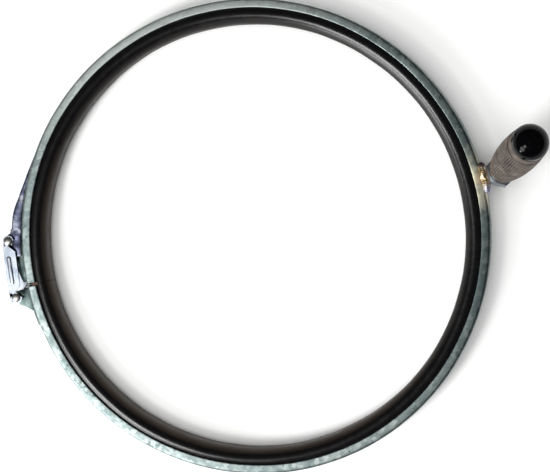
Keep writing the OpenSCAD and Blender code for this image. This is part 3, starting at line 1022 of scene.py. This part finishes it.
def ribbed(r, s, phi):
    if r < 9.5 or s > COLLAR_S or s < FOOT_S + 0.5:
        return r, s
    groove = (0.5 - 0.5 * math.cos(math.radians(phi * RIBS))) ** 3
    return r - rib_depth(s) * groove, s


def grip_body():
    """The barrel with its ribs, groove and collar, and a well in its end for the cap's plug."""
    outer = []
    heights = [np.linspace(FOOT_S + 0.8, GROOVE_S - 1.0, 24),
               np.linspace(GROOVE_S - 0.9, GROOVE_S + 0.9, 11),
               np.linspace(GROOVE_S + 1.0, COLLAR_S - 0.6, 46)]
    for s in np.concatenate(heights):
        dip = 0.75 * math.exp(-((s - GROOVE_S) / 0.5) ** 2)
        outer.append((grip_radius(s) - dip, s))
    collar_r = CAP_R + 0.35
    outer += [(collar_r - 0.5, COLLAR_S - 0.25), (collar_r - 0.55, COLLAR_S + 0.1),
              (collar_r, COLLAR_S + 0.5), (collar_r + 0.05, TOP_S - 1.0),
              (collar_r - 0.1, TOP_S - 0.4), (collar_r - 0.5, TOP_S)]
    well_r, well_s, bore = 11.0, TOP_S - WELL_DEPTH, 8.02
    profile = [(bore, well_s), (bore, FOOT_S), (FOOT_R - 0.9, FOOT_S), (FOOT_R - 0.3, FOOT_S + 0.2)] + outer
    profile += [(well_r + 0.3, TOP_S), (well_r, TOP_S - 0.3), (well_r, well_s)]
    piece = lathe("ribbed_grip", profile, RIBS * 10, ON_GRIP, ribbed, closed=True, sharp=38)
    dress(piece, "grip_plastic", "grip", ["grip_body"])


grip_body()


def end_cap():
    """A tall domed cap with a rolled rim; its plug sits in the grip's well."""
    ball = (CAP_R ** 2 + DOME_H ** 2) / (2 * DOME_H)
    centre = TOP_S + CAP_SIDE + DOME_H - ball
    side_a = math.asin((TOP_S + CAP_SIDE - centre) / ball)
    dome = [(ball * math.cos(a), centre + ball * math.sin(a))
            for a in np.linspace(side_a, math.pi / 2, 40)]
    dome[-1] = (0, TOP_S + CAP_SIDE + DOME_H)
    plug, wall = 10.9, 1.4
    rim = [(plug - wall, TOP_S - 3), (plug - 0.3, TOP_S - 3), (plug, TOP_S - 2.7), (plug, TOP_S + 0.06),
           (CAP_R - 0.6, TOP_S + 0.06), (CAP_R - 0.15, TOP_S + 0.25), (CAP_R, TOP_S + 0.7),
           (CAP_R, TOP_S + 1.5), (CAP_R - 0.06, TOP_S + 3.2)]
    roof = TOP_S + CAP_SIDE + 0.3 * DOME_H
    profile = [(0, roof), (plug - wall - 0.4, roof), (plug - wall, roof - 0.5)] + rim + dome
    piece = lathe("domed_cap", profile, 128, ON_GRIP, sharp=50)
    dress(piece, "cap_plastic", "grip", ["end_cap"])


end_cap()


def thread(r, s, phi):
    """A right-hand thread on the spindle's foot."""
    pitch, depth = 1.5, 0.75
    if s > 1.0 or r < 4.0:
        return r, s
    phase = ((s - phi / 360 * pitch) / pitch) % 1
    return r - depth * abs(2 * phase - 1), s


def spindle():
    thread_r, shoulder_r, end_r = 4.95, 6.0, 4.0
    end_s = -NUT_H - 1.5
    well_s = TOP_S - WELL_DEPTH
    profile = [(0, end_s), (3.9, end_s)] + [(thread_r, s) for s in np.arange(end_s + 0.3, 1.0, 0.25)]
    profile += [(thread_r, 1.9), (shoulder_r - 0.3, 2.0), (shoulder_r, 2.3), (shoulder_r, well_s + 0.3),
                (end_r, well_s + 0.3), (end_r, well_s + 9.3), (end_r - 0.5, well_s + 9.7), (0, well_s + 9.7)]
    piece = lathe("shoulder_screw", profile, 72, ON_GRIP, thread, sharp=35)
    dress(piece, "rivet_steel", "upper_half", ["handle_spindle"])


spindle()


def weld():
    """A hand-laid fillet between the hexagon boss and the channel's corner, with the ripples of its pools."""
    half_a, radius = 3.75, 3.6
    rows, cols = 110, 30
    verts, faces = [], []
    for i in range(rows + 1):
        t = 2 * i / rows - 1
        a = WELD_A + half_a * t
        taper = max(0.0, 1 - abs(t) ** 4.5) ** 0.5
        pool = abs(math.sin(15 * math.pi * t / 2 + 0.6))
        size = max(0.02, taper * radius * (0.94 + 0.05 * pool + 0.05 * math.sin(9 * t)))
        for k in range(cols):
            phi = 2 * math.pi * k / cols
            lump = 1 + 0.05 * math.sin(3 * phi + 7 * t) + 0.03 * math.sin(5 * phi - 11 * t)
            r = BAND_R + 1.8 + size * lump * math.cos(phi)
            z = HALF_W - 0.1 + size * lump * math.sin(phi) * 0.98
            p = polar(r, a)
            verts.append((p[0], p[1], z))
    for i in range(rows):
        for k in range(cols):
            m = (k + 1) % cols
            faces.append((i * cols + k, i * cols + m, (i + 1) * cols + m, (i + 1) * cols + k))
    faces += [tuple(range(cols)), tuple(range(rows * cols, (rows + 1) * cols))]
    piece = make("weld_fillet", verts, faces, 60)
    dress(piece, "weld_metal", "upper_half", ["weld_bead"])


weld()

# ---------------------------------------------------------------- CAD nodes that stay

for name in ("grip_sleeve", "retaining_washer", "spindle_nut"):
    node = frame["nodes"][name]
    node.data.materials.clear()
    node.data.materials.append(MATERIALS["rivet_steel"])

# ---------------------------------------------------------------- floor, lights and camera


def floor():
    mesh = bpy.data.meshes.new("floor")
    half, z = 6.0, -HALF_W * MM - 0.0003
    corners = [(-half, -half, z), (half, -half, z), (half, half, z), (-half, half, z)]
    mesh.from_pydata(corners, [], [(0, 1, 2, 3)])
    obj = bpy.data.objects.new("floor", mesh)
    bpy.context.scene.collection.objects.link(obj)
    n = Nodes("floor")
    mesh.materials.append(n.finish((0.93, 0.93, 0.92), 0.8, Specular_IOR_Level=0.1))


floor()


def area_light(name, place, target, size, power, colour=(1, 1, 1)):
    data = bpy.data.lights.new(name, "AREA")
    data.shape = "DISK"
    data.size = size
    data.energy = power
    data.color = colour
    obj = bpy.data.objects.new(name, data)
    bpy.context.scene.collection.objects.link(obj)
    obj.location = place
    obj.rotation_mode = "QUATERNION"
    obj.rotation_quaternion = (Vector(target) - Vector(place)).to_track_quat("-Z", "Y")
    return obj


CENTRE = (0, 0, 0)

area_light("key", (-1.054, -0.949, 1.108), CENTRE, 0.9, 20)
area_light("low_key", (-1.31, -1.31, 0.55), CENTRE, 0.25, 8)
area_light("window", (-0.72, -0.60, 1.77), CENTRE, 0.5, 10)
area_light("overhead", (0.1, 0.1, 4.0), CENTRE, 4.5, 150).visible_glossy = False


def world():
    scene = bpy.context.scene
    scene.world = bpy.data.worlds.new("studio")
    scene.world.use_nodes = True
    back = scene.world.node_tree.nodes["Background"]
    back.inputs["Color"].default_value = (0.95, 0.98, 1.0, 1)
    back.inputs["Strength"].default_value = 0.05


world()


def camera():
    """Nearly along the ring's axis, from a little to the right and above."""
    data = bpy.data.cameras.new("camera")
    data.sensor_width = 36
    data.lens = 103.35
    obj = bpy.data.objects.new("camera", data)
    yaw, pitch, roll = [math.radians(a) for a in (9.65, -4.274, -0.331)]
    place = (0.240, 0.100, 1.30)
    obj.matrix_world = (Matrix.Rotation(yaw, 4, "Y") @ Matrix.Rotation(pitch, 4, "X")
                        @ Matrix.Rotation(roll, 4, "Z"))
    obj.matrix_world.translation = place
    bpy.context.scene.collection.objects.link(obj)
    bpy.context.scene.camera = obj


camera()
bpy.context.scene.view_settings.view_transform = "Standard"
